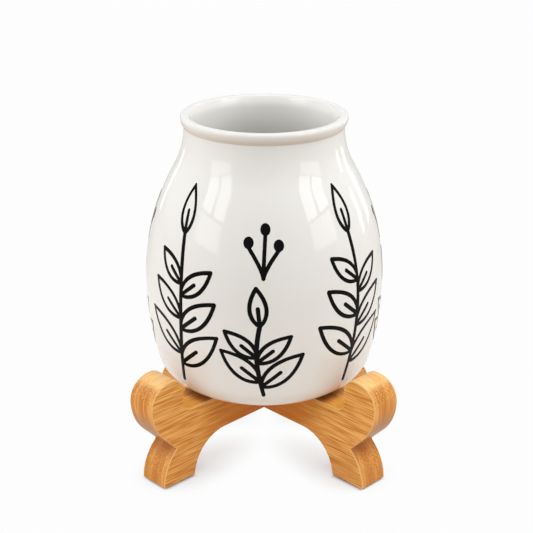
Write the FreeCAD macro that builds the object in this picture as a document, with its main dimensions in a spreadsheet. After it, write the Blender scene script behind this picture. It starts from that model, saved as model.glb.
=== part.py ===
import FreeCAD
import Part
import Sketcher
import math
import os

# Utensil holder: a bellied stoneware crock that stands in a knock-down bamboo cradle.
# The cradle is two planks crossed at right angles by a halving joint, on four thin foot pads.
# Millimetres and degrees, +Z up. The origin is on the floor, on the crock's axis.
# The lower plank runs along X and the upper plank along Y.

# Driving dimensions. Heights of the stand are above the floor, those of the crock above its base.
SIZES = {
    "crock_height": 164.3,
    "wall_thickness": 4.6,
    "belly_radius": 72.2,
    "belly_height": 63.2,
    "heel_radius": 18.7,
    "lower_side_radius": 204.0,
    "neck_radius": 47.3,
    "neck_blend_radius": 50.0,
    "rim_height": 6.8,
    "rim_projection": 2.0,
    "rim_corner_radius": 1.7,
    "rim_flat_width": 1.8,
    "foot_ring_width": 7.0,
    "base_recess": 1.2,
    "plank_thickness": 20.0,
    "seat_height": 46.5,
    "arch_height": 24.0,
    "arch_radius": 25.0,
    "cradle_clearance": 3.9,
    "notch_radius": 6.0,
    "lobe_width": 24.0,
    "lobe_rise": 22.5,
    "lobe_corner_radius": 8.0,
    "lobe_top_flat": 2.0,
    "flank_rise_share": 1.03,
    "waist_height": 24.0,
    "waist_radius": 1.0,
    "foot_setback": 8.6,
    "foot_length": 22.1,
    "foot_flank_radius": 30.5,
    "foot_corner_radius": 1.2,
    "arris_radius": 0.9,
    "slot_clearance": 0.15,
    "pad_thickness": 0.8,
    "pad_inset": 0.5,
    "pad_corner_radius": 2.0,
    "cut_overrun": 5.0,
    "match_tolerance": 0.001,
}

# Places along a plank, measured from the crock's axis, and heights that follow from the sizes above.
# The lobes stand outside the belly, so that the crock lifts straight out.
CRADLE_REACH = "(Sizes.belly_radius + Sizes.cradle_clearance)"
LOBE_REACH = f"({CRADLE_REACH} + Sizes.lobe_width)"
LOBE_HEIGHT = "(Sizes.seat_height + Sizes.lobe_rise)"
CROWN_RADIUS = "(Sizes.lobe_width - Sizes.lobe_corner_radius - Sizes.lobe_top_flat)"
FLANK_SLOPE = "atan(Sizes.flank_rise_share)"
SOLE_END = f"({LOBE_REACH} - Sizes.foot_setback)"
SOLE_START = f"({SOLE_END} - Sizes.foot_length)"
# The planks cross halfway up the bridge between seat and arch, each slotted over half its height.
CROSSING = "((Sizes.arch_height + Sizes.seat_height) / 2)"
NECK_HEIGHT = "(Sizes.crock_height - Sizes.rim_height)"
RIM_REACH = "(Sizes.neck_radius + Sizes.rim_projection)"

# Ends of a line or arc, and the middle of an arc, as a sketch numbers them.
FIRST, LAST, CENTRE = range(1, 4)
# The sketch's own horizontal and vertical axes, and its origin, where an axis starts.
LEVEL_AXIS, UPRIGHT_AXIS = range(-1, -3, -1)
ORIGIN = (LEVEL_AXIS, FIRST)

doc = FreeCAD.newDocument("utensil_holder")
sheet = doc.addObject("Spreadsheet::Sheet", "Sizes")
for row, (alias, number) in enumerate(SIZES.items(), start=1):
    sheet.set(f"A{row}", alias)
    sheet.set(f"B{row}", str(number))
    sheet.setAlias(f"B{row}", alias)
doc.recompute()


def size(expression):
    """The value of a size on the sheet, or of an expression in such sizes."""
    if expression in SIZES:
        expression = f"Sizes.{expression}"
    return float(sheet.evalExpression(expression))


class Outline:
    """A closed run of lines and arcs in one sketch, with its sizes tied to the sheet."""

    def __init__(self, body, name, role):
        self.sketch = body.newObject("Sketcher::SketchObject", name)
        self.sketch.AttachmentSupport = [(origin_plane(body, role), "")]
        self.sketch.MapMode = "FlatFace"
        self.ends = []

    def line(self, start, end):
        """Adds a straight run, and gives its number."""
        index = self.sketch.addGeometry(Part.LineSegment(vector(start), vector(end)))
        self.ends.append((FIRST, LAST))
        return index

    def arc(self, centre, start, end, left_turn):
        """Adds a round run that turns left or right on its way, and gives its number."""
        circle = Part.Circle(vector(centre), FreeCAD.Vector(0, 0, 1), math.dist(centre, start))
        angles = [math.atan2(p[1] - centre[1], p[0] - centre[0]) for p in (start, end)]
        if not left_turn:
            angles.reverse()
        index = self.sketch.addGeometry(Part.ArcOfCircle(circle, *angles))
        self.ends.append((FIRST, LAST) if left_turn else (LAST, FIRST))
        return index

    def rule(self, kind, *where):
        """Adds a rule without a size, such as Horizontal or Coincident."""
        self.sketch.addConstraint(Sketcher.Constraint(kind, *where))

    def join(self, kind, *runs):
        """Joins each run's last point to the first point of the next run."""
        for before, after in zip(runs, runs[1:]):
            self.rule(kind, before, self.ends[before][1], after, self.ends[after][0])

    def measure(self, name, expression, kind, *where):
        """Adds a size that the sheet drives. A slope is in degrees."""
        value = size(expression)
        if kind == "Angle":
            value = math.radians(value)
        index = self.sketch.addConstraint(Sketcher.Constraint(kind, *where, value))
        self.sketch.renameConstraint(index, name)
        self.sketch.setExpression(f"Constraints.{name}", expression)


def origin_plane(body, role):
    """One of the body's own three planes."""
    return next(item for item in body.Origin.OriginFeatures if item.Role == role)


def vector(point):
    """A sketch point as a vector."""
    return FreeCAD.Vector(point[0], point[1], 0)


def moved(point, direction, distance):
    """The point that lies a distance from another in a direction."""
    return (point[0] + direction[0] * distance, point[1] + direction[1] * distance)


def towards(start, target, distance):
    """The point that lies a distance from start on the way to target."""
    share = distance / math.dist(start, target)
    return moved(start, (target[0] - start[0], target[1] - start[1]), share)


def leg(long_side, short_side):
    """The other short side of a right-angled triangle."""
    return math.sqrt(long_side ** 2 - short_side ** 2)


def new_body(label):
    """An empty body whose label names its file."""
    body = doc.addObject("PartDesign::Body", label)
    body.Label = label
    return body


def turn_about_axis(body, degrees):
    """Turns a body about the crock's axis."""
    upright = FreeCAD.Vector(0, 0, 1)
    body.Placement = FreeCAD.Placement(FreeCAD.Vector(), FreeCAD.Rotation(upright, degrees))


def round_edges(body, name, base, edges, radius):
    """Rounds edges of the base feature, given by their numbers."""
    fillet = body.newObject("PartDesign::Fillet", name)
    fillet.Base = (base, [f"Edge{number}" for number in edges])
    fillet.setExpression("Radius", f"Sizes.{radius}")
    return fillet


def draw_half_plank(body):
    """Half of a plank's side view, from the crock's axis out to the end of one arm."""
    seat, arch, sole = size("seat_height"), size("arch_height"), size("pad_thickness")
    cradle, reach, top = size(CRADLE_REACH), size(LOBE_REACH), size(LOBE_HEIGHT)
    arch_r, toe_r, foot_r = size("arch_radius"), size("foot_corner_radius"), size("foot_flank_radius")
    waist_r, waist = size("waist_radius"), size("waist_height")
    crown_r, nook_r, notch_r = size(CROWN_RADIUS), size("lobe_corner_radius"), size("notch_radius")

    # Middles of the round stretches, from the arch outwards and up to the seat.
    toe_in = (size(SOLE_START), sole + toe_r)
    toe_out = (size(SOLE_END), sole + toe_r)
    arch_mid = (toe_in[0] - leg(arch_r + toe_r, toe_in[1] - arch + arch_r), arch - arch_r)
    foot_mid = (toe_out[0] - leg(foot_r - toe_r, toe_r), sole)
    waist_mid = (foot_mid[0] + leg(foot_r + waist_r, waist - sole), waist)
    crown_mid = (reach - crown_r, top - crown_r)
    nook_mid = (cradle + nook_r, top - nook_r)
    notch_mid = (cradle - notch_r, seat + notch_r)

    # The straight flank leaves the waist at its slope, and a round flank carries it into the crown.
    slope = math.radians(size(FLANK_SLOPE))
    inwards = (-math.sin(slope), math.cos(slope))
    flank_low = moved(waist_mid, inwards, waist_r)
    rise, run = crown_mid[1] - flank_low[1], reach - flank_low[0]
    flank_r = (rise * math.cos(slope) - run * math.sin(slope)) / (1 - math.sin(slope))
    flank_mid = (reach - flank_r, crown_mid[1])
    flank_high = moved(flank_mid, inwards, -flank_r)

    arch_end = towards(arch_mid, toe_in, arch_r)
    foot_start = towards(foot_mid, toe_out, foot_r)
    foot_end = towards(foot_mid, waist_mid, foot_r)
    outmost = (reach, crown_mid[1])

    out = Outline(body, f"{body.Label}_outline", "XZ_Plane")
    under = out.line((0, arch), (arch_mid[0], arch))
    arch_arc = out.arc(arch_mid, (arch_mid[0], arch), arch_end, False)
    toe_in_arc = out.arc(toe_in, arch_end, (toe_in[0], sole), True)
    sole_line = out.line((toe_in[0], sole), (toe_out[0], sole))
    toe_out_arc = out.arc(toe_out, (toe_out[0], sole), foot_start, True)
    foot_arc = out.arc(foot_mid, foot_start, foot_end, True)
    waist_arc = out.arc(waist_mid, foot_end, flank_low, False)
    flank_line = out.line(flank_low, flank_high)
    flank_arc = out.arc(flank_mid, flank_high, outmost, True)
    crown_arc = out.arc(crown_mid, outmost, (crown_mid[0], top), True)
    top_line = out.line((crown_mid[0], top), (nook_mid[0], top))
    nook_arc = out.arc(nook_mid, (nook_mid[0], top), (cradle, nook_mid[1]), True)
    inner_line = out.line((cradle, nook_mid[1]), (cradle, notch_mid[1]))
    notch_arc = out.arc(notch_mid, (cradle, notch_mid[1]), (notch_mid[0], seat), False)
    seat_line = out.line((notch_mid[0], seat), (0, seat))
    middle = out.line((0, seat), (0, arch))

    out.join("Tangent", under, arch_arc, toe_in_arc, sole_line, toe_out_arc, foot_arc, waist_arc, flank_line,
             flank_arc, crown_arc, top_line, nook_arc, inner_line, notch_arc, seat_line)
    out.join("Coincident", seat_line, middle, under)
    for level in (under, sole_line, top_line, seat_line):
        out.rule("Horizontal", level)
    out.rule("Vertical", inner_line)
    out.rule("PointOnObject", middle, FIRST, UPRIGHT_AXIS)
    out.rule("PointOnObject", middle, LAST, UPRIGHT_AXIS)
    out.rule("Equal", toe_in_arc, toe_out_arc)
    out.rule("Horizontal", crown_arc, CENTRE, crown_arc, FIRST)

    out.measure("arch_height", "Sizes.arch_height", "DistanceY", *ORIGIN, under, FIRST)
    out.measure("arch_radius", "Sizes.arch_radius", "Radius", arch_arc)
    out.measure("toe_radius", "Sizes.foot_corner_radius", "Radius", toe_in_arc)
    out.measure("sole_height", "Sizes.pad_thickness", "DistanceY", *ORIGIN, sole_line, FIRST)
    out.measure("sole_start", SOLE_START, "DistanceX", *ORIGIN, sole_line, FIRST)
    out.measure("sole_end", SOLE_END, "DistanceX", *ORIGIN, sole_line, LAST)
    out.measure("foot_flank_radius", "Sizes.foot_flank_radius", "Radius", foot_arc)
    out.measure("foot_flank_height", "Sizes.pad_thickness", "DistanceY", *ORIGIN, foot_arc, CENTRE)
    out.measure("waist_radius", "Sizes.waist_radius", "Radius", waist_arc)
    out.measure("waist_height", "Sizes.waist_height", "DistanceY", *ORIGIN, waist_arc, CENTRE)
    out.measure("flank_slope", FLANK_SLOPE, "Angle", flank_line)
    out.measure("lobe_reach", LOBE_REACH, "DistanceX", *ORIGIN, crown_arc, FIRST)
    out.measure("lobe_height", LOBE_HEIGHT, "DistanceY", *ORIGIN, top_line, FIRST)
    out.measure("crown_radius", CROWN_RADIUS, "Radius", crown_arc)
    out.measure("lobe_corner_radius", "Sizes.lobe_corner_radius", "Radius", nook_arc)
    out.measure("cradle_reach", CRADLE_REACH, "DistanceX", *ORIGIN, inner_line, FIRST)
    out.measure("notch_radius", "Sizes.notch_radius", "Radius", notch_arc)
    out.measure("seat_height", "Sizes.seat_height", "DistanceY", *ORIGIN, seat_line, FIRST)
    return out.sketch


def draw_slot(body, low, high):
    """The halving slot's side view, centred on the crock's axis, between two heights."""
    width = "Sizes.plank_thickness + 2 * Sizes.slot_clearance"
    half, bottom, top = size(width) / 2, size(low), size(high)
    out = Outline(body, f"{body.Label}_slot_outline", "XZ_Plane")
    floor = out.line((-half, bottom), (half, bottom))
    right = out.line((half, bottom), (half, top))
    ceiling = out.line((half, top), (-half, top))
    left = out.line((-half, top), (-half, bottom))
    out.join("Coincident", floor, right, ceiling, left, floor)
    out.rule("Horizontal", ceiling)
    out.rule("Vertical", right)
    out.rule("Vertical", left)
    out.rule("Symmetric", floor, FIRST, floor, LAST, UPRIGHT_AXIS)
    out.measure("width", width, "DistanceX", floor, FIRST, floor, LAST)
    out.measure("bottom", low, "DistanceY", *ORIGIN, floor, FIRST)
    out.measure("top", high, "DistanceY", *ORIGIN, ceiling, FIRST)
    return out.sketch


def make_plank(label, slot_low, slot_high, degrees):
    """A bamboo plank with a lobe and a foot at each end, rounded arrises and a halving slot."""
    body = new_body(label)
    half = body.newObject("PartDesign::Pad", f"{label}_half")
    half.Profile = draw_half_plank(body)
    half.SideType = "Symmetric"
    half.setExpression("Length", "Sizes.plank_thickness")
    whole = body.newObject("PartDesign::Mirrored", f"{label}_whole")
    whole.Originals = [half]
    whole.MirrorPlane = (origin_plane(body, "YZ_Plane"), [""])
    body.Tip = whole
    doc.recompute()
    # The arrises are the edges that lie in one of the two wide faces.
    arrises = [number for number, edge in enumerate(whole.Shape.Edges, start=1)
               if edge.BoundBox.YLength < size("match_tolerance")]
    rounded = round_edges(body, f"{label}_arrises", whole, arrises, "arris_radius")
    doc.recompute()
    slot = body.newObject("PartDesign::Pocket", f"{label}_slot")
    slot.Profile = draw_slot(body, slot_low, slot_high)
    slot.SideType = "Symmetric"
    slot.Type = "ThroughAll"
    doc.recompute()
    if slot.Shape.Volume >= rounded.Shape.Volume:
        raise RuntimeError(f"{label}: the halving slot cuts nothing")
    turn_about_axis(body, degrees)
    return body


def make_pad(label, degrees):
    """A thin non-slip pad under one foot, set in from the rounded edges of the sole."""
    body = new_body(label)
    start = f"{SOLE_START} + Sizes.pad_inset"
    length = "Sizes.foot_length - 2 * Sizes.pad_inset"
    width = "Sizes.plank_thickness - 2 * Sizes.arris_radius - 2 * Sizes.pad_inset"
    near, half = size(start), size(width) / 2
    far = near + size(length)
    out = Outline(body, f"{label}_outline", "XY_Plane")
    front = out.line((near, -half), (far, -half))
    end = out.line((far, -half), (far, half))
    back = out.line((far, half), (near, half))
    inner = out.line((near, half), (near, -half))
    out.join("Coincident", front, end, back, inner, front)
    out.rule("Horizontal", front)
    out.rule("Horizontal", back)
    out.rule("Vertical", end)
    out.rule("Symmetric", inner, FIRST, inner, LAST, LEVEL_AXIS)
    out.measure("length", length, "DistanceX", front, FIRST, front, LAST)
    out.measure("width", width, "DistanceY", end, FIRST, end, LAST)
    out.measure("start", start, "DistanceX", *ORIGIN, front, FIRST)
    layer = body.newObject("PartDesign::Pad", f"{label}_layer")
    layer.Profile = out.sketch
    layer.setExpression("Length", "Sizes.pad_thickness")
    doc.recompute()
    upright = [number for number, edge in enumerate(layer.Shape.Edges, start=1)
               if edge.BoundBox.ZLength > size("match_tolerance")]
    round_edges(body, f"{label}_corners", layer, upright, "pad_corner_radius")
    turn_about_axis(body, degrees)
    return body


def draw_crock(body):
    """The crock's wall in section: a shell of even thickness from the foot ring up to a solid rim bead."""
    wall, top = size("wall_thickness"), size("crock_height")
    belly, belly_z = size("belly_radius"), size("belly_height")
    heel_r, lower_r = size("heel_radius"), size("lower_side_radius")
    neck, neck_z, neck_r = size("neck_radius"), size(NECK_HEIGHT), size("neck_blend_radius")
    reach, corner_r = size(RIM_REACH), size("rim_corner_radius")
    recess = size("base_recess")

    # Middles of the round stretches, from the heel up to the neck.
    # The upper side is as round as it takes to run from the belly into the neck's blend.
    waning, climb = belly - neck, neck_z - belly_z
    upper_r = (waning ** 2 + climb ** 2) / (2 * waning) - neck_r
    lower_mid = (belly - lower_r, belly_z)
    upper_mid = (belly - upper_r, belly_z)
    heel_mid = (lower_mid[0] + leg(lower_r - heel_r, belly_z - heel_r), heel_r)
    neck_mid = (neck + neck_r, neck_z)

    # The bead swells from a crease at the neck to its full reach, and the mouth flares to meet its top.
    bead_top = top - corner_r
    swell, bead_rise = reach - neck, bead_top - neck_z
    bead_r = (swell ** 2 + bead_rise ** 2) / (2 * swell)
    bead_mid = (reach - bead_r, bead_top)
    corner_mid = (reach - corner_r, bead_top)
    edge_mid = (corner_mid[0] - size("rim_flat_width"), bead_top)
    mouth = neck - wall
    flare_step = edge_mid[0] - mouth
    flare_r = (flare_step ** 2 + bead_rise ** 2 - corner_r ** 2) / (2 * (flare_step - corner_r))
    flare_mid = (mouth + flare_r, neck_z)
    flare_end = towards(flare_mid, edge_mid, flare_r)

    def wall_points(inset):
        """Where the round stretches meet, at a depth into the wall."""
        return (
            (heel_mid[0], inset),
            towards(lower_mid, heel_mid, lower_r - inset),
            (belly - inset, belly_z),
            towards(upper_mid, neck_mid, upper_r - inset),
            (neck - inset, neck_z),
        )

    outer, inner = wall_points(0), wall_points(wall)
    ring = heel_mid[0] - size("foot_ring_width")

    out = Outline(body, "crock_section", "XZ_Plane")
    ring_line = out.line((ring, 0), outer[0])
    heel = out.arc(heel_mid, outer[0], outer[1], True)
    lower = out.arc(lower_mid, outer[1], outer[2], True)
    upper = out.arc(upper_mid, outer[2], outer[3], True)
    throat = out.arc(neck_mid, outer[3], outer[4], False)
    bead = out.arc(bead_mid, outer[4], (reach, bead_top), True)
    corner = out.arc(corner_mid, (reach, bead_top), (corner_mid[0], top), True)
    rim_line = out.line((corner_mid[0], top), (edge_mid[0], top))
    edge = out.arc(edge_mid, (edge_mid[0], top), flare_end, True)
    flare = out.arc(flare_mid, flare_end, inner[4], True)
    throat_in = out.arc(neck_mid, inner[4], inner[3], True)
    upper_in = out.arc(upper_mid, inner[3], inner[2], False)
    lower_in = out.arc(lower_mid, inner[2], inner[1], False)
    heel_in = out.arc(heel_mid, inner[1], inner[0], False)
    floor = out.line(inner[0], (0, wall))
    axis = out.line((0, wall), (0, recess))
    recess_line = out.line((0, recess), (ring, recess))
    step = out.line((ring, recess), (ring, 0))

    out.join("Tangent", ring_line, heel, lower, upper, throat)
    out.join("Coincident", throat, bead)
    out.join("Tangent", bead, corner, rim_line, edge, flare, throat_in, upper_in, lower_in, heel_in, floor)
    out.join("Coincident", floor, axis, recess_line, step, ring_line)
    for outside, inside in ((heel, heel_in), (lower, lower_in), (upper, upper_in), (throat, throat_in)):
        out.rule("Coincident", outside, CENTRE, inside, CENTRE)
    for level in (ring_line, floor, recess_line, rim_line):
        out.rule("Horizontal", level)
    out.rule("Vertical", step)
    out.rule("PointOnObject", axis, FIRST, UPRIGHT_AXIS)
    out.rule("PointOnObject", axis, LAST, UPRIGHT_AXIS)
    out.rule("PointOnObject", ring_line, FIRST, LEVEL_AXIS)
    out.rule("Horizontal", lower, CENTRE, lower, LAST)
    out.rule("Horizontal", throat, CENTRE, throat, FIRST)
    out.rule("Horizontal", bead, CENTRE, bead, LAST)
    out.rule("Horizontal", flare, CENTRE, flare, LAST)
    out.rule("Equal", corner, edge)

    out.measure("heel_radius", "Sizes.heel_radius", "Radius", heel)
    out.measure("lower_side_radius", "Sizes.lower_side_radius", "Radius", lower)
    out.measure("belly_radius", "Sizes.belly_radius", "DistanceX", *ORIGIN, lower, LAST)
    out.measure("belly_height", "Sizes.belly_height", "DistanceY", *ORIGIN, lower, LAST)
    out.measure("neck_blend_radius", "Sizes.neck_blend_radius", "Radius", throat)
    out.measure("neck_radius", "Sizes.neck_radius", "DistanceX", *ORIGIN, throat, FIRST)
    out.measure("neck_height", NECK_HEIGHT, "DistanceY", *ORIGIN, throat, FIRST)
    out.measure("rim_reach", RIM_REACH, "DistanceX", *ORIGIN, bead, LAST)
    out.measure("crock_height", "Sizes.crock_height", "DistanceY", *ORIGIN, rim_line, FIRST)
    out.measure("rim_corner_radius", "Sizes.rim_corner_radius", "Radius", corner)
    out.measure("rim_flat_width", "Sizes.rim_flat_width", "DistanceX", rim_line, LAST, rim_line, FIRST)
    out.measure("wall_thickness", "Sizes.wall_thickness", "DistanceY", *ORIGIN, floor, LAST)
    out.measure("ring_width", "Sizes.foot_ring_width", "DistanceX", ring_line, FIRST, ring_line, LAST)
    out.measure("base_recess", "Sizes.base_recess", "DistanceY", *ORIGIN, axis, LAST)
    return out.sketch


def make_crock(label):
    """The crock, turned about its axis and stood on the planks' seats."""
    body = new_body(label)
    shell = body.newObject("PartDesign::Revolution", f"{label}_shell")
    section = draw_crock(body)
    shell.Profile = section
    shell.ReferenceAxis = (section, ["V_Axis"])
    body.setExpression("Placement.Base.z", "Sizes.seat_height")
    return body


pieces = [
    make_plank("lower_plank", CROSSING, "Sizes.seat_height + Sizes.cut_overrun", 0),
    make_plank("upper_plank", "Sizes.arch_height - Sizes.cut_overrun", CROSSING, 90),
]
# One pad under each foot, going round from the lower plank's foot on +X.
for quarter, corner in enumerate(("front_right", "rear_right", "rear_left", "front_left")):
    pieces.append(make_pad(f"foot_pad_{corner}", 90 * quarter))
pieces.append(make_crock("crock"))
doc.recompute()

for item in doc.Objects:
    if "Invalid" in item.State or "Error" in item.State:
        raise RuntimeError(f"{item.Label} failed: {item.State}")
for piece in pieces:
    if piece.Shape.isNull() or not piece.Shape.isValid():
        raise RuntimeError(f"{piece.Label} has no valid shape")

os.makedirs("parts", exist_ok=True)
for piece in pieces:
    piece.Shape.exportStep(f"parts/{piece.Label}.step")
    print(piece.Label, round(piece.Shape.Volume), "cubic millimetres")
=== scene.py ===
import math

import bpy
import numpy as np
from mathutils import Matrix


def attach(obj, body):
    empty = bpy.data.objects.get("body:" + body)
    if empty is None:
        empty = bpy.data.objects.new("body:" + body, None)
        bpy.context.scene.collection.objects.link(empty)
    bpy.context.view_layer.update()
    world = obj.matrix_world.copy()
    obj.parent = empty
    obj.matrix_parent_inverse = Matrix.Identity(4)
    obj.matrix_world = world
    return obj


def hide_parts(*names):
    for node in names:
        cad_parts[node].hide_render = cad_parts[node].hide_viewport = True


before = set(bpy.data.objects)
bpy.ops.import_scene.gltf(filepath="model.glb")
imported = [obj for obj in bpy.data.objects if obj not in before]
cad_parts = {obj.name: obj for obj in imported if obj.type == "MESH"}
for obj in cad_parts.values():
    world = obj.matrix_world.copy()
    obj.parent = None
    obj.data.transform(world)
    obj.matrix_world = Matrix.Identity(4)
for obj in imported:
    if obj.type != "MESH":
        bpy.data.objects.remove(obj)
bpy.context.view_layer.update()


# Crossed planks of the stand
# Two boards of five bamboo slats glued face to face, sawn to one outline, with their arrises eased and
# a clear satin lacquer. They slot into each other at the middle, and the grain runs along each board.
# Heights above the table and distances from the axis, at which the colour changes, are in metres.

SLAT_THICKNESS, SLAT_TONE_SEED = 0.004, 7.3
WAIST_HEIGHT = 0.024
# Heights and reaches at which the painted shade, light, sheen and shadow begin and end.
CREASE_FOOT, CREASE_HEAD = 0.015, WAIST_HEIGHT + 0.001
FOOT_SHADE_TOP, FOOT_SHADE_FULL = 0.03, 0.008
LOBE_SHADE_FULL = 0.028
LEDGE_FULL, LEDGE_TOP, LOBE_TOP_FULL = 0.048, 0.053, 0.063
CROSSING_SHADE_REACH, CROSSING_SHADE_FULL = 0.07, 0.03
LEDGE_PAINTED_LIGHT_FROM, LEDGE_PAINTED_LIGHT_FULL = 0.06, 0.068
LEDGE_PAINTED_SHADOW_FROM, LEDGE_PAINTED_SHADOW_FULL = 0.064, 0.057
LACQUER_RELIEF = 0.00005


def screen_colour(red, green, blue):
    """A colour written as it looks on a screen, 0 to 255, as linear red, green, blue and alpha."""
    shares = [value / 255 for value in (red, green, blue)]
    return (*(s / 12.92 if s <= 0.04045 else ((s + 0.055) / 1.055) ** 2.4 for s in shares), 1.0)


class Wire:
    """A value, colour or vector on its way through a material. Sums on it add Math nodes."""

    def __init__(self, finish, socket):
        self.finish = finish
        self.socket = socket

    def math(self, operation, *others):
        return self.finish.math(operation, self, *others)

    def __add__(self, other):
        return self.math("ADD", other)

    def __sub__(self, other):
        return self.math("SUBTRACT", other)

    def __rsub__(self, other):
        return self.finish.math("SUBTRACT", other, self)

    def __mul__(self, other):
        return self.math("MULTIPLY", other)

    def __truediv__(self, other):
        return self.math("DIVIDE", other)

    __radd__ = __add__
    __rmul__ = __mul__


class Finish:
    """A material in the making. node() adds any shader node: settings first, then its sockets."""

    def __init__(self, name):
        self.material = bpy.data.materials.new(name)
        self.material.use_nodes = True
        self.tree = self.material.node_tree
        self.tree.nodes.clear()

    def node(self, kind, output, settings=None, sockets=None):
        made = self.tree.nodes.new("ShaderNode" + kind)
        for key, value in (settings or {}).items():
            setattr(made, key, value)
        for key, value in (sockets or {}).items():
            if isinstance(value, Wire):
                self.tree.links.new(value.socket, made.inputs[key])
            else:
                made.inputs[key].default_value = value
        return Wire(self, made.outputs[output])

    def math(self, operation, *values):
        return self.node("Math", 0, {"operation": operation}, dict(enumerate(values)))

    def split(self, vector):
        """The three parts of a vector."""
        first = self.node("SeparateXYZ", 0, None, {0: vector})
        return (first, *(Wire(self, first.socket.node.outputs[part]) for part in (1, 2)))

    def step(self, value, low, high):
        """0 at low, 1 at high, and a smooth climb between them. Low may be the greater one."""
        settings = {"interpolation_type": "SMOOTHSTEP"}
        return self.node("MapRange", 0, settings, {0: value, 1: low, 2: high})

    def mix(self, share, first, second):
        """The first colour where share is 0, and the second where it is 1."""
        settings = {"data_type": "RGBA"}
        return self.node("Mix", 2, settings, {0: share, 6: first, 7: second})

    def noise(self, place, scales, detail=2.0, seed=0.0):
        """Noise from 0 to 1, with so many swings to the metre along each of the three axes."""
        scaled = self.node("VectorMath", 0, {"operation": "MULTIPLY"}, {0: place, 1: scales})
        sockets = {"Vector": scaled, "W": seed, "Scale": 1.0, "Detail": detail}
        return self.node("TexNoise", "Fac", {"noise_dimensions": "4D"}, sockets)

    def seen(self, by_lens, in_reflection):
        """One level for the lens, another for what gloss and glass show, and 0 for light on its way round."""
        kinds = ("Camera", "Glossy", "Transmission")
        lens, gloss, glass = (self.node("LightPath", f"Is {kind} Ray") for kind in kinds)
        return lens * by_lens + gloss.math("MAXIMUM", glass) * in_reflection

    def finish(self, sockets, bump=None):
        """Joins the sockets to one Principled shader, with an optional (height, depth) relief."""
        if bump:
            relief = {"Height": bump[0], "Distance": bump[1], "Strength": 1.0}
            sockets = {**sockets, "Normal": self.node("Bump", "Normal", None, relief)}
        return self.show(self.node("BsdfPrincipled", 0, None, sockets))

    def show(self, shader):
        """Makes a shader the material's surface."""
        out = self.tree.nodes.new("ShaderNodeOutputMaterial")
        self.tree.links.new(shader.socket, out.inputs["Surface"])
        return self.material


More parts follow.
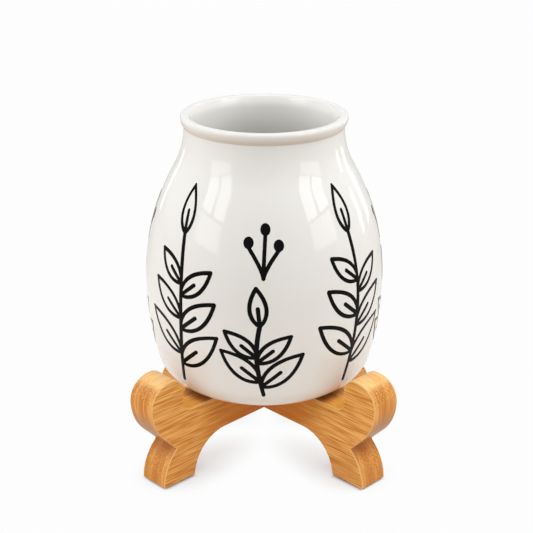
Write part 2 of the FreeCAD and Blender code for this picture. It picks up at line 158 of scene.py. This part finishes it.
def lacquered_bamboo(name, quarter_turn):
    """Bamboo slats: fine streaks along the board, and upright bands with pores where their ends show.

    Painted shade makes the board deeper in colour towards the middle, where the boards cross under the crock,
    in its creases, low on the feet and under the lobes, which it also greys as a painted reflection of the
    floor. A painted shadow darkens it where the crock covers the ledges. Painted highlights make it paler on
    its arrises, painted sheen on top of the lobes, and painted light on the open part of the ledges.
    """
    bamboo = Finish(name)
    turn = {"Rotation": (0, 0, -math.pi / 2 * quarter_turn)}
    place = bamboo.node("TexCoord", "Object")
    place = bamboo.node("Mapping", 0, None, {"Vector": place, **turn})
    facing = bamboo.node("TexCoord", "Normal")
    facing = bamboo.node("Mapping", 0, {"vector_type": "NORMAL"}, {"Vector": facing, **turn})
    endwise, sideways, upwards = bamboo.split(facing)
    flat = bamboo.node("VectorMath", 0, {"operation": "MULTIPLY"}, {0: place, 1: (1, 1, 0)})
    across, height = bamboo.split(place)[1:]
    depth = across / SLAT_THICKNESS + 0.5
    layer = depth.math("FLOOR")
    tone = bamboo.node("TexWhiteNoise", "Value", {"noise_dimensions": "1D"}, {"W": layer + SLAT_TONE_SEED})

    streaks = bamboo.noise(place, (30, 420, 480), 2.0, tone * 40)
    lines = bamboo.noise(place, (50, 1100, 1250), 2.0, tone * 90)
    fibres = bamboo.noise(place, (80, 2300, 2600), 1.0, tone * 70)
    grain = streaks * 0.5 + lines - 0.75
    pale, dark = screen_colour(250, 189, 106), screen_colour(208, 129, 44)
    face = bamboo.mix(bamboo.step(grain, -0.2, 0.2), pale, dark)
    face = bamboo.mix(bamboo.step(lines + streaks * 0.4, 0.8, 0.96) * 0.6, face, screen_colour(172, 90, 22))
    from_axis = bamboo.node("VectorMath", "Value", {"operation": "LENGTH"}, {0: flat})
    # Painted shade: a deeper, more saturated orange towards the middle, under the crock.
    crossing_painted_shade = bamboo.step(from_axis, CROSSING_SHADE_REACH, CROSSING_SHADE_FULL)
    face = bamboo.mix(crossing_painted_shade * 0.75, face, screen_colour(218, 124, 10))

    bands = bamboo.noise(place, (60, 900, 45), 2.0, tone * 30)
    pores = bamboo.noise(place, (500, 1900, 1900), 1.0)
    seam = bamboo.step((depth - layer - 0.5).math("ABSOLUTE"), 0.44, 0.5)
    ring = bands * 0.9 + (tone - 0.5) * 0.3 + seam * 0.12 - 0.45
    cut = bamboo.mix(bamboo.step(ring, -0.2, 0.2), screen_colour(243, 174, 90), screen_colour(202, 124, 42))
    open_pores = bamboo.step(upwards, -0.15, 0.4) * 0.6
    cut = bamboo.mix(bamboo.step(pores, 0.54, 0.64) * open_pores, cut, screen_colour(250, 200, 128))
    cut = bamboo.mix(bamboo.step(pores, 0.46, 0.36) * open_pores, cut, screen_colour(160, 90, 24))

    # Painted sheen: the grain streaks on the tops of the lobes are paler, as if lit from above.
    top_grain_painted_sheen = bamboo.step(streaks + fibres * 0.5, 0.62, 0.97)
    top_grain_painted_sheen = bamboo.mix(top_grain_painted_sheen, screen_colour(255, 208, 140), screen_colour(246, 182, 104))
    level = bamboo.step(upwards, 0.5, 0.9)
    face = bamboo.mix(level * bamboo.step(height, LEDGE_TOP, LOBE_TOP_FULL), face, top_grain_painted_sheen)
    ledge = level * bamboo.step(height, LEDGE_TOP, LEDGE_FULL)
    # Painted light on the open part of the ledges.
    ledge_painted_light = ledge * bamboo.step(from_axis, LEDGE_PAINTED_LIGHT_FROM, LEDGE_PAINTED_LIGHT_FULL)
    face = bamboo.mix(ledge_painted_light * 0.75, face, screen_colour(255, 190, 82))
    # Painted shadow of the crock where it covers the ledges.
    ledge_painted_shadow = ledge * bamboo.step(from_axis, LEDGE_PAINTED_SHADOW_FROM, LEDGE_PAINTED_SHADOW_FULL)
    face = bamboo.mix(ledge_painted_shadow * 0.6, face, screen_colour(100, 46, 4))

    ends = bamboo.step(endwise.math("ABSOLUTE"), 0.4, 0.75)
    colour = bamboo.mix(ends, face, cut)
    # Painted shade: the feet get darker towards the table.
    foot_shade = bamboo.step(height, FOOT_SHADE_TOP, FOOT_SHADE_FULL) * (0.15 + ends * 0.1)
    colour = bamboo.mix(foot_shade, colour, screen_colour(150, 82, 22))
    # Painted shade under the lobes' ends, greyed as a painted reflection of the floor.
    lobe_shade = bamboo.step(upwards, -0.05, -0.5) * bamboo.step(height, WAIST_HEIGHT, LOBE_SHADE_FULL)
    colour = bamboo.mix(lobe_shade * ends * 0.8, colour, screen_colour(178, 122, 76))
    # Painted shade in the waist creases under the lobes.
    crease = bamboo.step(height, CREASE_FOOT, WAIST_HEIGHT) * bamboo.step(height, CREASE_HEAD, WAIST_HEIGHT)
    colour = bamboo.mix(crease * ends * 0.6, colour, screen_colour(150, 78, 8))
    # Painted highlight along the rounded arrises.
    sideways = sideways.math("ABSOLUTE")
    arris = bamboo.step(sideways, 0.2, 0.6) * bamboo.step(sideways, 0.97, 0.8)
    colour = bamboo.mix(arris * 0.65, colour, screen_colour(255, 212, 144))
    sockets = {"Base Color": colour, "Roughness": 0.27 + fibres * 0.12, "Specular IOR Level": 0.22}
    return bamboo.finish(sockets, (fibres * 0.6 + streaks * 0.4, LACQUER_RELIEF))


for quarter_turn, board in enumerate(("lower_plank", "upper_plank")):
    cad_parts[board].data.materials.clear()
    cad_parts[board].data.materials.append(lacquered_bamboo(f"{board}_bamboo", quarter_turn))


# Foot pads
# Four thin dark non-slip pads, cut from sheet and glued under the feet. They stay hidden but for a
# dark line between each foot and the table.

PEBBLE_RELIEF = 0.0001


def pad_sheet():
    """Matte dark sheet with a faint pebbled face."""
    sheet = Finish("dark_pad_sheet")
    place = sheet.node("TexCoord", "Object")
    pebbles = sheet.noise(place, (1500, 1500, 1500))
    colour = sheet.mix(pebbles, screen_colour(44, 38, 34), screen_colour(70, 62, 56))
    return sheet.finish({"Base Color": colour, "Roughness": 0.8 + pebbles * 0.1}, (pebbles, PEBBLE_RELIEF))


pad_finish = pad_sheet()
for pad in ("front_right", "rear_right", "rear_left", "front_left"):
    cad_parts[f"foot_pad_{pad}"].data.materials.clear()
    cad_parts[f"foot_pad_{pad}"].data.materials.append(pad_finish)


# Crock
# One slip-cast stoneware pot with a rolled rim, dipped in a glossy white glaze. Its foot ring is
# wiped bare before firing, and it stands loose on the planks. Sizes are in metres: heights count from
# its base, the seat's from the table, and those of the pooled glaze and its painted shade from the crease
# under the rim.

SEAT = 0.0465
CROCK_HEIGHT = 0.1643
WALL = 0.0046
BELLY_RADIUS, BELLY_HEIGHT = 0.0722, 0.0632
HEEL_RADIUS, LOWER_RADIUS = 0.0187, 0.204
NECK_RADIUS, NECK_HEIGHT, NECK_BLEND = 0.0473, 0.1575, 0.05
RIM_PROJECTION, RIM_CORNER, RIM_FLAT = 0.002, 0.0017, 0.0018
GLAZE_POOL = 0.0006
RING_WIDTH, BASE_RECESS = 0.007, 0.0012
CROCK_TURNS = 256
HEEL_ROWS, LOWER_ROWS, UPPER_ROWS, THROAT_ROWS = 14, 18, 30, 16
POOL_ROWS, BEAD_ROWS, CORNER_ROWS, EDGE_ROWS, FLARE_ROWS = 5, 12, 7, 6, 12
GLAZE_WAVE, GLAZE_WAVE_RAMP, GLAZE_RELIEF = 0.00003, 0.02, 0.000008
GLAZE_WAVES_ROUND, GLAZE_WAVES_TWIST = (7, 5), (90, -130)
POOL_SHADE_FOOT, POOL_SHADE_FOOT_FULL, POOL_SHADE_HEAD_FULL, POOL_SHADE_HEAD = -0.0006, 0.0004, 0.001, 0.0062
BARE_RING_TOP, BARE_RING_FULL, BARE_RING_WANDER = 0.0011, 0.0007, 0.0004
SMOOTH_TURN = 40


def arc(centre, radius, start, end, count):
    """Points on a circle from one angle to another, as rows of distance from the axis and height."""
    angles = np.linspace(start, end, count)
    return np.column_stack([centre[0] + radius * np.cos(angles), centre[1] + radius * np.sin(angles)])


def bearing_to(start, end):
    """The angle at which one point of the section lies from another."""
    return math.atan2(end[1] - start[1], end[0] - start[0])


def meeting(first, first_reach, second, second_reach):
    """The point left of the way from first to second that lies at a given reach from each of them."""
    apart = math.dist(first, second)
    turn = math.acos((first_reach ** 2 + apart ** 2 - second_reach ** 2) / (2 * first_reach * apart))
    angle = bearing_to(first, second) + turn
    return first[0] + first_reach * math.cos(angle), first[1] + first_reach * math.sin(angle)


def crock_section():
    """The wall in section, out and up from the base, over the rim and down the inside to the floor.

    Each stretch is an arc that runs into the next one. Outside they are heel, lower side, upper side and
    throat, then the glaze that has pooled in the crease, the rim bead and its corner. Inside, the mouth
    narrows from the rim down to the neck, and the rest keeps the centres of the outside's arcs.
    """
    fall, climb = BELLY_RADIUS - NECK_RADIUS, NECK_HEIGHT - BELLY_HEIGHT
    upper_radius = (fall ** 2 + climb ** 2) / (2 * fall) - NECK_BLEND
    lower = (BELLY_RADIUS - LOWER_RADIUS, BELLY_HEIGHT)
    upper = (BELLY_RADIUS - upper_radius, BELLY_HEIGHT)
    drop = BELLY_HEIGHT - HEEL_RADIUS
    heel = (lower[0] + math.sqrt((LOWER_RADIUS - HEEL_RADIUS) ** 2 - drop ** 2), HEEL_RADIUS)
    neck = (NECK_RADIUS + NECK_BLEND, NECK_HEIGHT)
    heel_turn, neck_turn = bearing_to(lower, heel), bearing_to(upper, neck)

    bead_top, reach = CROCK_HEIGHT - RIM_CORNER, NECK_RADIUS + RIM_PROJECTION
    rise, mouth = bead_top - NECK_HEIGHT, NECK_RADIUS - WALL
    bead_radius = (RIM_PROJECTION ** 2 + rise ** 2) / (2 * RIM_PROJECTION)
    bead = (reach - bead_radius, bead_top)
    corner = (reach - RIM_CORNER, bead_top)
    edge = (corner[0] - RIM_FLAT, bead_top)
    step = edge[0] - mouth
    flare_radius = (step ** 2 + rise ** 2 - RIM_CORNER ** 2) / (2 * (step - RIM_CORNER))
    flare = (mouth + flare_radius, NECK_HEIGHT)
    flare_turn = bearing_to(flare, edge)
    pool = meeting(neck, NECK_BLEND - GLAZE_POOL, bead, bead_radius + GLAZE_POOL)
    pool_turn, bead_turn = bearing_to(neck, pool), bearing_to(bead, pool)

    def side(depth, throat_end):
        """The arcs of one face of the wall, from the heel up to the neck."""
        return [arc(heel, HEEL_RADIUS - depth, -math.pi / 2, heel_turn, HEEL_ROWS),
                arc(lower, LOWER_RADIUS - depth, heel_turn, 0, LOWER_ROWS)[1:],
                arc(upper, upper_radius - depth, 0, neck_turn, UPPER_ROWS)[1:],
                arc(neck, NECK_BLEND + depth, neck_turn + math.pi, throat_end, THROAT_ROWS)[1:]]

    ring = heel[0] - RING_WIDTH
    base = [(0, BASE_RECESS), (ring / 2, BASE_RECESS), (ring, BASE_RECESS), (ring, 0),
            (ring + RING_WIDTH / 2, 0)]
    outside = np.concatenate(side(0, pool_turn % (2 * math.pi)))
    rim = [arc(pool, GLAZE_POOL, pool_turn % (2 * math.pi), math.pi + bead_turn, POOL_ROWS)[1:],
           arc(bead, bead_radius, bead_turn, 0, BEAD_ROWS)[1:],
           arc(corner, RIM_CORNER, 0, math.pi / 2, CORNER_ROWS)[1:],
           arc(edge, RIM_CORNER, math.pi / 2, flare_turn, EDGE_ROWS),
           arc(flare, flare_radius, flare_turn, math.pi, FLARE_ROWS)[1:]]
    inside = np.concatenate(side(WALL, math.pi))[-2::-1]
    floor = [(heel[0] * 2 / 3, WALL), (heel[0] / 3, WALL), (0, WALL)]
    return np.concatenate([base, outside, *rim, inside, floor]), outside


def new_piece(name, points, faces, smooth_below):
    """A mesh object at the origin, smooth across every edge that turns less than so many degrees."""
    mesh = bpy.data.meshes.new(name)
    mesh.from_pydata(points, [], faces)
    mesh.shade_smooth()
    mesh.set_sharp_from_angle(angle=math.radians(smooth_below))
    piece = bpy.data.objects.new(name, mesh)
    bpy.context.scene.collection.objects.link(piece)
    return piece


def turned(section, count):
    """A closed surface of revolution about Z: each row of the section goes round once.

    Rows on the axis are single points with a fan of triangles. The glaze waves pull the rows in by about
    a tenth of a millimetre at most, as two sine waves that each go round in whole counts and twist by so
    many radians to the metre of height. They leave the base and the axis alone.
    """
    angles = np.linspace(0, 2 * math.pi, count, endpoint=False)
    radius, height = section[1:-1, :1], section[1:-1, 1:]
    kinds = zip(GLAZE_WAVES_ROUND, GLAZE_WAVES_TWIST)
    waves = sum(1 - np.sin(times * angles + twist * height) for times, twist in kinds)
    radius = radius - GLAZE_WAVE * waves * np.clip((height - WALL) / GLAZE_WAVE_RAMP, 0, 1)
    rows = np.stack([radius * np.cos(angles), radius * np.sin(angles), SEAT + height + 0 * angles], axis=-1)
    ends = [(0, 0, SEAT + section[end, 1]) for end in (0, -1)]
    points = np.concatenate([ends, rows.reshape(-1, 3)])
    ids = 2 + np.arange(rows.shape[0] * count).reshape(-1, count)
    after = np.roll(ids, -1, axis=1)
    walls = np.stack([ids[:-1], after[:-1], after[1:], ids[1:]], axis=-1).reshape(-1, 4).tolist()
    under = [(0, b, a) for a, b in zip(ids[0].tolist(), after[0].tolist())]
    floor = [(1, a, b) for a, b in zip(ids[-1].tolist(), after[-1].tolist())]
    return points, walls + under + floor


def white_glaze():
    """Glossy warm white glaze with faint clouds, over pale clay that is bare at the foot ring.

    Where it has pooled above the crease under the rim, the glaze is browner, and the brown runs on up the
    underside of the bead as painted shade.
    """
    glaze = Finish("white_glaze")
    place = glaze.node("TexCoord", "Object")
    height = glaze.split(place)[2]
    clouds = glaze.noise(place, (28, 28, 28))
    peel = glaze.noise(place, (260, 260, 260), 1.0)
    white = glaze.mix(clouds, screen_colour(240, 237, 232), screen_colour(243, 241, 237))
    flat = glaze.node("VectorMath", 0, {"operation": "MULTIPLY"}, {0: place, 1: (1, 1, 0)})
    from_axis = glaze.node("VectorMath", "Value", {"operation": "LENGTH"}, {0: flat})
    over_crease = height - SEAT - NECK_HEIGHT
    # Browner glaze pooled in the crease, carried up the bead's underside as painted shade.
    pooled = glaze.step(over_crease, POOL_SHADE_FOOT, POOL_SHADE_FOOT_FULL)
    pooled = pooled * glaze.step(over_crease, POOL_SHADE_HEAD, POOL_SHADE_HEAD_FULL)
    pooled = pooled * glaze.step(from_axis, NECK_RADIUS - WALL / 2, NECK_RADIUS)
    white = glaze.mix(pooled * 0.7, white, screen_colour(224, 209, 192))
    clay = glaze.mix(peel, screen_colour(205, 191, 171), screen_colour(222, 210, 192))
    bare = glaze.step(height + peel * BARE_RING_WANDER, SEAT + BARE_RING_TOP, SEAT + BARE_RING_FULL)
    colour = glaze.mix(bare, white, clay)
    roughness = 0.018 + clouds * 0.016 + bare * 0.6
    return glaze.finish({"Base Color": colour, "Roughness": roughness}, (peel, GLAZE_RELIEF))


section, crock_outside = crock_section()
crock = new_piece("crock_glazed", *turned(section, CROCK_TURNS), SMOOTH_TURN)
crock.data.materials.append(white_glaze())
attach(crock, "crock")
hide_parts("crock")


# Painted sprigs
# Black brush-line herb sprigs round the belly, fired on under the last coat of glaze, so that each
# line stands up a little and shines like the rest. Lengths are in millimetres on the unrolled belly, and
# a line's arch has points of (share of half its width, lift off the glaze).

FRONT = math.radians(45)
SPRIG_COUNT = 8
LINE_WIDTH = 2.5
LINE_ARCH = np.array([(-1, -0.06), (-0.8, 0.05), (-0.45, 0.1), (0, 0.12), (0.45, 0.1), (0.8, 0.05),
                      (1, -0.06), (0.6, -0.3), (-0.6, -0.3)])
END_ROWS, LEAF_ROWS, VEIN_ROWS, STEM_ROWS, STALK_ROWS = 6, 18, 8, 40, 14
END_TURN_FIRST, END_TURN_LAST = 85, 15
STEM_WIDTH_SHARE, BERRY_WIDTH_SHARE = 1.15, 2.6
STEM_SWING, STALK_BEND, LEAF_FULLNESS = 2.6, 1.4, 0.85
FIRST_LEAF_SHARE, LEAF_SPAN_SHARE, LEAF_TAPER_SHARE = 0.14, 0.74, 0.4
LEFT_LEAF_SHARE, RIGHT_HALF_WIDTH_SHARE, LEFT_HALF_WIDTH_SHARE, LEFT_LEAF_ROWS_UP = 0.94, 0.2, 0.19, 3
TOP_LEAF_SHARE, TOP_HALF_WIDTH_SHARE, TOP_LEAF_LEAN = 0.7, 0.15, 0.1
BERRY_FOOT, BERRY_HEAD = 2.2, 2.4
LEAF_LEAN = math.radians(40)
LINE_SMOOTH_TURN = 50


def brush_line(points, widths):
    """A raised line on the unrolled belly, as rows of (across, up, lift), with half-round ends."""
    points, widths = np.asarray(points, float), np.asarray(widths, float)
    course = np.gradient(points, axis=0)
    course /= np.linalg.norm(course, axis=1, keepdims=True)
    turn = np.radians(np.linspace(END_TURN_FIRST, END_TURN_LAST, END_ROWS))[:, None]
    first = points[0] - course[0] * np.sin(turn) * widths[0] / 2
    last = (points[-1] + course[-1] * np.sin(turn) * widths[-1] / 2)[::-1]
    ends = np.cos(turn[:, 0])
    points = np.concatenate([first, points, last])
    course = np.concatenate([np.repeat(course[:1], END_ROWS, 0), course, np.repeat(course[-1:], END_ROWS, 0)])
    widths = np.concatenate([ends * widths[0], widths, ends[::-1] * widths[-1]])
    left = np.column_stack([-course[:, 1], course[:, 0]])
    flat = points[:, None] + left[:, None] * (LINE_ARCH[:, 0] / 2)[None, :, None] * widths[:, None, None]
    lift = np.broadcast_to(LINE_ARCH[:, 1], flat.shape[:2])
    return np.concatenate([flat, lift[..., None]], axis=-1)


def leaf(foot, heading, length, half_width):
    """Two lines that bow out as a parabola does and meet in a point, and a short vein between them.

    The parabola runs over the share of the length to a power, which makes the leaf fuller near its foot.
    """
    t = np.linspace(0, 1, LEAF_ROWS)
    ahead = np.array([math.cos(heading), math.sin(heading)])
    aside = np.array([-ahead[1], ahead[0]])
    share = t ** LEAF_FULLNESS
    bow = np.outer(4 * share * (1 - share) * half_width, aside)
    spine = np.asarray(foot) + np.outer(t * length, ahead)
    lines = [brush_line(spine + way * bow, np.full(LEAF_ROWS, LINE_WIDTH)) for way in (1, -1)]
    return lines + [brush_line(spine[1:VEIN_ROWS + 1], np.full(VEIN_ROWS, LINE_WIDTH))]


def sprig(foot, height, sway, pairs, longest):
    """A stem that sways as a sine of its height, pairs of leaves that get shorter upwards, and a top leaf."""
    t = np.linspace(0, 1, STEM_ROWS)
    stem = np.column_stack([sway * np.sin(STEM_SWING * t), foot + height * t])
    lines = [brush_line(stem, np.full(STEM_ROWS, LINE_WIDTH * STEM_WIDTH_SHARE))]
    for pair in range(pairs):
        row = int((FIRST_LEAF_SHARE + LEAF_SPAN_SHARE * pair / pairs) * (STEM_ROWS - 1))
        length = longest * (1 - LEAF_TAPER_SHARE * pair / pairs)
        lines += leaf(stem[row], LEAF_LEAN, length, length * RIGHT_HALF_WIDTH_SHARE)
        lines += leaf(stem[row + LEFT_LEAF_ROWS_UP], math.pi - LEAF_LEAN,
                      length * LEFT_LEAF_SHARE, length * LEFT_HALF_WIDTH_SHARE)
    top_heading = math.pi / 2 + TOP_LEAF_LEAN
    return lines + leaf(stem[-1], top_heading, longest * TOP_LEAF_SHARE, longest * TOP_HALF_WIDTH_SHARE)


def berries(foot, height):
    """Three round berries on bent stalks, drawn as dots and a fork of short lines."""
    lines = []
    for lean, reach in ((-0.5, 0.8), (0.05, 1.0), (0.55, 0.75)):
        t = np.linspace(0, 1, STALK_ROWS)
        across = height * reach * math.sin(lean) * t ** STALK_BEND
        up = foot + height * reach * math.cos(lean) * t
        stalk = np.column_stack([across, up])
        berry = stalk[-1] + [(0, BERRY_FOOT), (0, BERRY_HEAD)]
        lines.append(brush_line(stalk, np.full(STALK_ROWS, LINE_WIDTH)))
        lines.append(brush_line(berry, np.full(len(berry), LINE_WIDTH * BERRY_WIDTH_SHARE)))
    return lines


def on_crock(line, bearing):
    """A brush line laid on the crock's outside, at an angle round it."""
    across, up, lift = np.moveaxis(line, -1, 0) / 1000
    angle = bearing + across / BELLY_RADIUS
    reach = np.interp(up, crock_outside[:, 1], crock_outside[:, 0]) + lift
    return np.stack([reach * np.cos(angle), reach * np.sin(angle), SEAT + up], axis=-1)


def sprig_mesh():
    """All brush lines as closed ribbons: rows of the arch's points, walls between rows, and two end faces."""
    tall = sprig(foot=15, height=92, sway=5, pairs=3, longest=36)
    short = sprig(foot=14, height=46, sway=-4, pairs=2, longest=32) + berries(foot=88, height=24)
    points, faces = [], []
    start = 0
    for place in range(SPRIG_COUNT):
        bearing = FRONT - math.pi / 2 + 2 * math.pi * place / SPRIG_COUNT
        for line in (short, tall)[place % 2]:
            rows = on_crock(line, bearing)
            ids = start + np.arange(rows.shape[0] * rows.shape[1]).reshape(rows.shape[:2])
            after = np.roll(ids, -1, axis=1)
            faces += np.stack([ids[:-1], ids[1:], after[1:], after[:-1]], axis=-1).reshape(-1, 4).tolist()
            faces += [ids[0].tolist(), ids[-1][::-1].tolist()]
            points.append(rows.reshape(-1, 3))
            start += ids.size
    return np.concatenate(points), faces


def black_enamel():
    """Glossy black underglaze, a little thinner and browner in places."""
    enamel = Finish("black_enamel")
    place = enamel.node("TexCoord", "Object")
    thin = enamel.noise(place, (140, 140, 140))
    colour = enamel.mix(thin, screen_colour(2, 2, 2), screen_colour(12, 11, 10))
    return enamel.finish({"Base Color": colour, "Roughness": 0.1 + thin * 0.08, "Specular IOR Level": 0.08})


sprigs = new_piece("crock_sprigs", *sprig_mesh(), LINE_SMOOTH_TURN)
sprigs.data.materials.append(black_enamel())
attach(sprigs, "crock")


# Stage, light and camera
# A white floor under a pale sky, and a window of two panes on each side of the camera, which shows in
# the glaze with dim strips behind it. The other soft boxes light the object from the flanks, from the
# rear, from above the camera and from low down, and don't show in the glaze.

AXIS_TO_CAMERA = 0.6794
CAMERA_HEIGHT = 0.3829
CAMERA_TILT = math.radians(21.58)
CAMERA_FRONT = math.radians(45.35)
LENS_PIXELS = 1191.0
IMAGE_PIXELS = 533.0
AXIS_LEFT_OF_CENTRE_PIXELS = 2.3
SENSOR_WIDTH = 36.0
LAMP_REACH = 1.3
CROCK_MIDDLE = 0.12
DAYLIGHT = (0.97, 0.985, 1.0)
PANE_TURN = 8.6
FLANK_TURN, WING_TURN, LOW_FILL_TURN = 95, 128, 40
PANE = {"elevation": 33, "width": 0.29, "height": 0.5, "radiance": 3.2}
WINDOW_LOW = {"elevation": 14, "width": 0.62, "height": 0.3, "radiance": 1.9}
FLANK = {"width": 0.6, "height": 0.7, "radiance": 4.6, "mirrored": False}
WING = {"elevation": 42, "width": 0.8, "height": 0.8, "radiance": 0.92, "mirrored": False}
LOW_FILL = {"elevation": 4, "width": 0.7, "height": 0.22, "radiance": 1.1, "mirrored": False}
FLOOR_REACH = 6.0
SHADOW_REACH, SHADOW_FULL, SHADOW_END, INWARD_SHARE = 0.076, 0.004, 0.03, 0.4
SOLE_MIDDLE, SOLE_HALF_LENGTH, SOLE_HALF_WIDTH = 0.0804, 0.0116, 0.0103
CONTACT_FULL, CONTACT_END = -0.0005, 0.0015
SHEET_EDGE, TABLE_START = 0.2, 0.45
NEAR_PLAIN_SHARE = 0.44
SKY_STRENGTH, SKY_IN_REFLECTIONS = 0.2, 0.8


def around(bearing, distance, height):
    """A place at a bearing from the camera's own direction, in degrees to the right of the picture."""
    angle = CAMERA_FRONT + math.radians(bearing)
    return distance * math.sin(angle), -distance * math.cos(angle), height


camera_data = bpy.data.cameras.new("photo_camera")
camera_data.sensor_width = SENSOR_WIDTH
camera_data.lens = LENS_PIXELS / IMAGE_PIXELS * SENSOR_WIDTH
camera_data.shift_x = AXIS_LEFT_OF_CENTRE_PIXELS / IMAGE_PIXELS
camera = bpy.data.objects.new("photo_camera", camera_data)
camera.location = around(0, AXIS_TO_CAMERA, CAMERA_HEIGHT)
camera.rotation_euler = (math.pi / 2 - CAMERA_TILT, 0, CAMERA_FRONT)
bpy.context.scene.collection.objects.link(camera)
bpy.context.scene.camera = camera


def soft_box(name, bearing, elevation, width, height, radiance, mirrored=True):
    """A rectangular lamp on a dome about the crock, so many times as bright as a white wall.

    Bearing and elevation are in degrees from the camera's direction and from the level. A lamp that isn't
    mirrored lights the object but doesn't show in the glaze.
    """
    lamp = bpy.data.lights.new(name, "AREA")
    lamp.shape = "RECTANGLE"
    lamp.size, lamp.size_y = width, height
    lamp.energy = radiance * math.pi * width * height
    lamp.color = DAYLIGHT
    holder = bpy.data.objects.new(name, lamp)
    tilt = math.radians(elevation)
    holder.location = around(bearing, LAMP_REACH * math.cos(tilt), CROCK_MIDDLE + LAMP_REACH * math.sin(tilt))
    holder.rotation_euler = (math.pi / 2 - tilt, 0, CAMERA_FRONT + math.radians(bearing))
    holder.visible_glossy = mirrored
    bpy.context.scene.collection.objects.link(holder)


for side, way, window, flank_elevation in (("left", -1, -59, 20), ("right", 1, 63, 40)):
    soft_box(f"{side}_front_pane", window - PANE_TURN * way, **PANE)
    soft_box(f"{side}_back_pane", window + PANE_TURN * way, **PANE)
    soft_box(f"{side}_window_low", window, **WINDOW_LOW)
    soft_box(f"{side}_flank", FLANK_TURN * way, flank_elevation, **FLANK)
    soft_box(f"{side}_wing", WING_TURN * way, **WING)
    soft_box(f"{side}_low_fill", LOW_FILL_TURN * way, **LOW_FILL)
soft_box("right_strip", 116, elevation=4, width=0.14, height=0.32, radiance=1.8)
soft_box("right_far_strip", 133, elevation=1, width=0.2, height=0.4, radiance=1.5)
soft_box("left_far_strip", -140, elevation=0, width=0.12, height=0.4, radiance=1.4)
soft_box("front_box", 0, elevation=55, width=1.0, height=0.5, radiance=3.2, mirrored=False)

floor_mesh = bpy.data.meshes.new("studio_floor")
corners = [(-FLOOR_REACH, -FLOOR_REACH, 0), (FLOOR_REACH, -FLOOR_REACH, 0),
           (FLOOR_REACH, FLOOR_REACH, 0), (-FLOOR_REACH, FLOOR_REACH, 0)]
floor_mesh.from_pydata(corners, [], [(0, 1, 2, 3)])
floor = bpy.data.objects.new("studio_floor", floor_mesh)
bpy.context.scene.collection.objects.link(floor)


def white_floor():
    """White paint that keeps the shadow under and beside the feet and is plain white to the lens further out.

    Distances count from a line along each board, past its reach in full and short of it in part, and from
    the outline of each sole. The light that it sends to the object is that of a white sheet on a warm
    brown table.
    """
    paint = Finish("white_floor")
    place = paint.node("TexCoord", "Object")
    distance = paint.node("VectorMath", "Value", {"operation": "LENGTH"}, {0: place})
    along, across = (part.math("ABSOLUTE") for part in paint.split(place)[:2])
    outwards, beside_foot = along.math("MAXIMUM", across), along.math("MINIMUM", across)
    past_foot = outwards - SHADOW_REACH
    past_foot = past_foot.math("MAXIMUM", past_foot * -INWARD_SHARE)
    past_sole = (outwards - SOLE_MIDDLE).math("ABSOLUTE") - SOLE_HALF_LENGTH
    past_sole = past_sole.math("MAXIMUM", beside_foot - SOLE_HALF_WIDTH)
    from_foot = (past_foot * past_foot + beside_foot * beside_foot).math("SQRT")
    sheet, table, cool_white = (0.86, 0.8, 0.74, 1), (0.34, 0.28, 0.22, 1), (0.84, 0.93, 0.98, 1)
    bounce = paint.mix(paint.step(distance, SHEET_EDGE, TABLE_START), sheet, table)
    colour = paint.mix(paint.seen(1, 0), bounce, cool_white)
    lit = paint.node("BsdfDiffuse", 0, None, {"Color": colour})
    glow = paint.node("Emission", 0, None, {"Color": (0.985, 0.985, 0.985, 1), "Strength": 1.0})
    plain = NEAR_PLAIN_SHARE + paint.step(from_foot, SHADOW_FULL, SHADOW_END) * (1 - NEAR_PLAIN_SHARE)
    plain = plain * paint.step(past_sole, CONTACT_FULL, CONTACT_END) * paint.seen(1, 0.5)
    return paint.show(paint.node("MixShader", 0, None, {0: plain, 1: lit, 2: glow}))


floor_mesh.materials.append(white_floor())


class Sky(Finish):
    """A world in the making, with the same node calls as a material."""

    def __init__(self, name):
        self.material = bpy.data.worlds.new(name)
        self.material.use_nodes = True
        self.tree = self.material.node_tree
        self.tree.nodes.clear()

    def show(self, shader):
        out = self.tree.nodes.new("ShaderNodeOutputWorld")
        self.tree.links.new(shader.socket, out.inputs["Surface"])
        return self.material


def studio_sky(strength):
    """A pale sky of even strength, which is plain white to the lens and nearly so in reflections."""
    sky = Sky("studio_sky")
    level = strength + sky.seen(1 - strength, SKY_IN_REFLECTIONS - strength)
    return sky.show(sky.node("Background", 0, None, {"Color": (1, 1, 1, 1), "Strength": level}))


bpy.context.scene.world = studio_sky(SKY_STRENGTH)
bpy.context.scene.view_settings.view_transform = "Standard"
